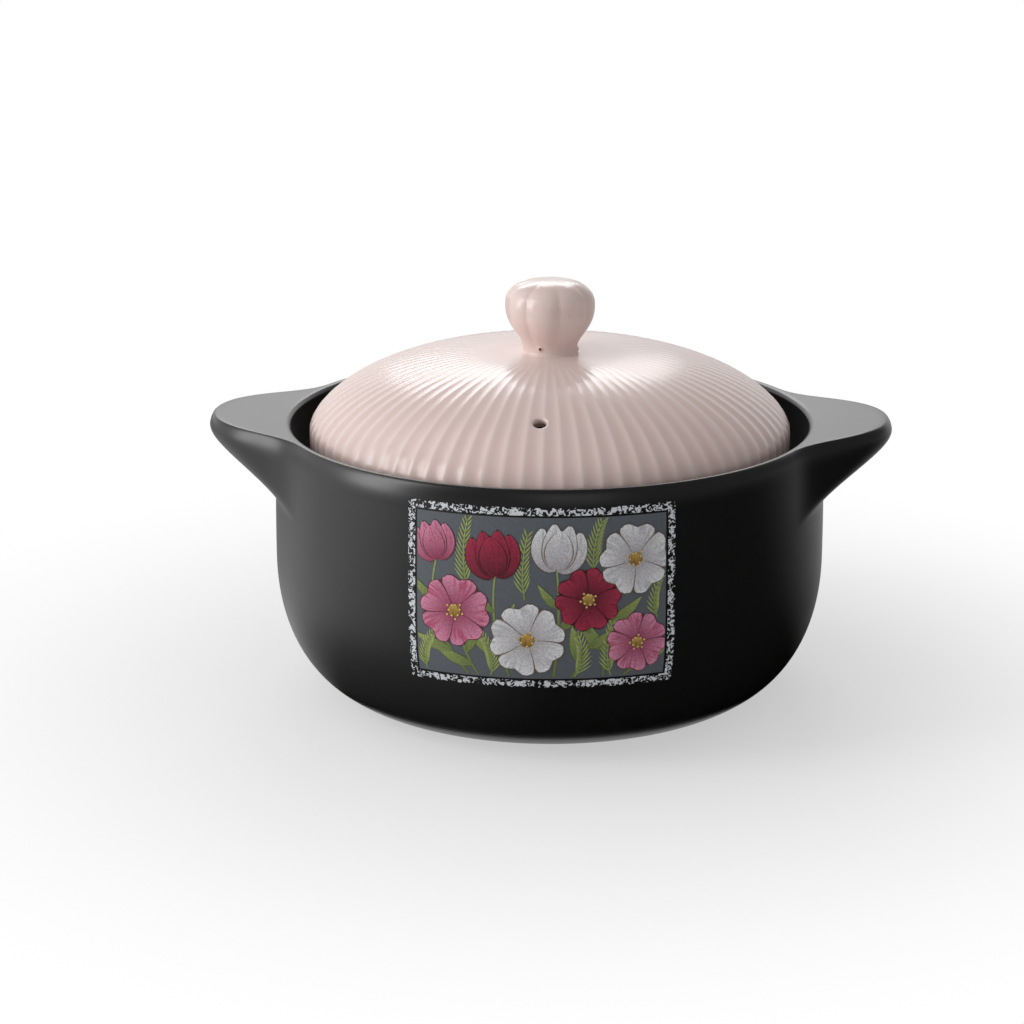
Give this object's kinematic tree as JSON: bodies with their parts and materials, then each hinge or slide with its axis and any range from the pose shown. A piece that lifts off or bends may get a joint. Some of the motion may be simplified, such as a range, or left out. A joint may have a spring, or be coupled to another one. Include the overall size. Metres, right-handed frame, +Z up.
{
  "type": "casserole pot",
  "caption": "Round lidded casserole pot with ear handles, an inner lid ledge and a printed front panel; its fluted dome lid has a steam vent and a lobed knob. For stewing on a stove.",
  "frame": {"origin": "centre of the foot ring, on the surface that the pot stands on", "axes": "+X along the ears to the right one, +Y to the back, +Z up; the printed panel faces -Y"},
  "size_m": [0.28, 0.2265, 0.17],
  "materials": {
    "pot_glaze": "satin black glaze",
    "print": "fired transfer print on grey",
    "lid_glaze": "satin blush pink glaze"
  },
  "bodies": {
    "pot": {"pot_body": "pot_glaze", "left_handle": "pot_glaze", "right_handle": "pot_glaze", "front_print": "print"},
    "lid": {"lid_dome": "lid_glaze", "lid_knob": "lid_glaze"}
  },
  "joints": [
    {"name": "lid_lift", "type": "slide", "parent": "pot", "child": "lid", "axis": [0, 0, 1], "range_m": [0, 0.12]}
  ]
}
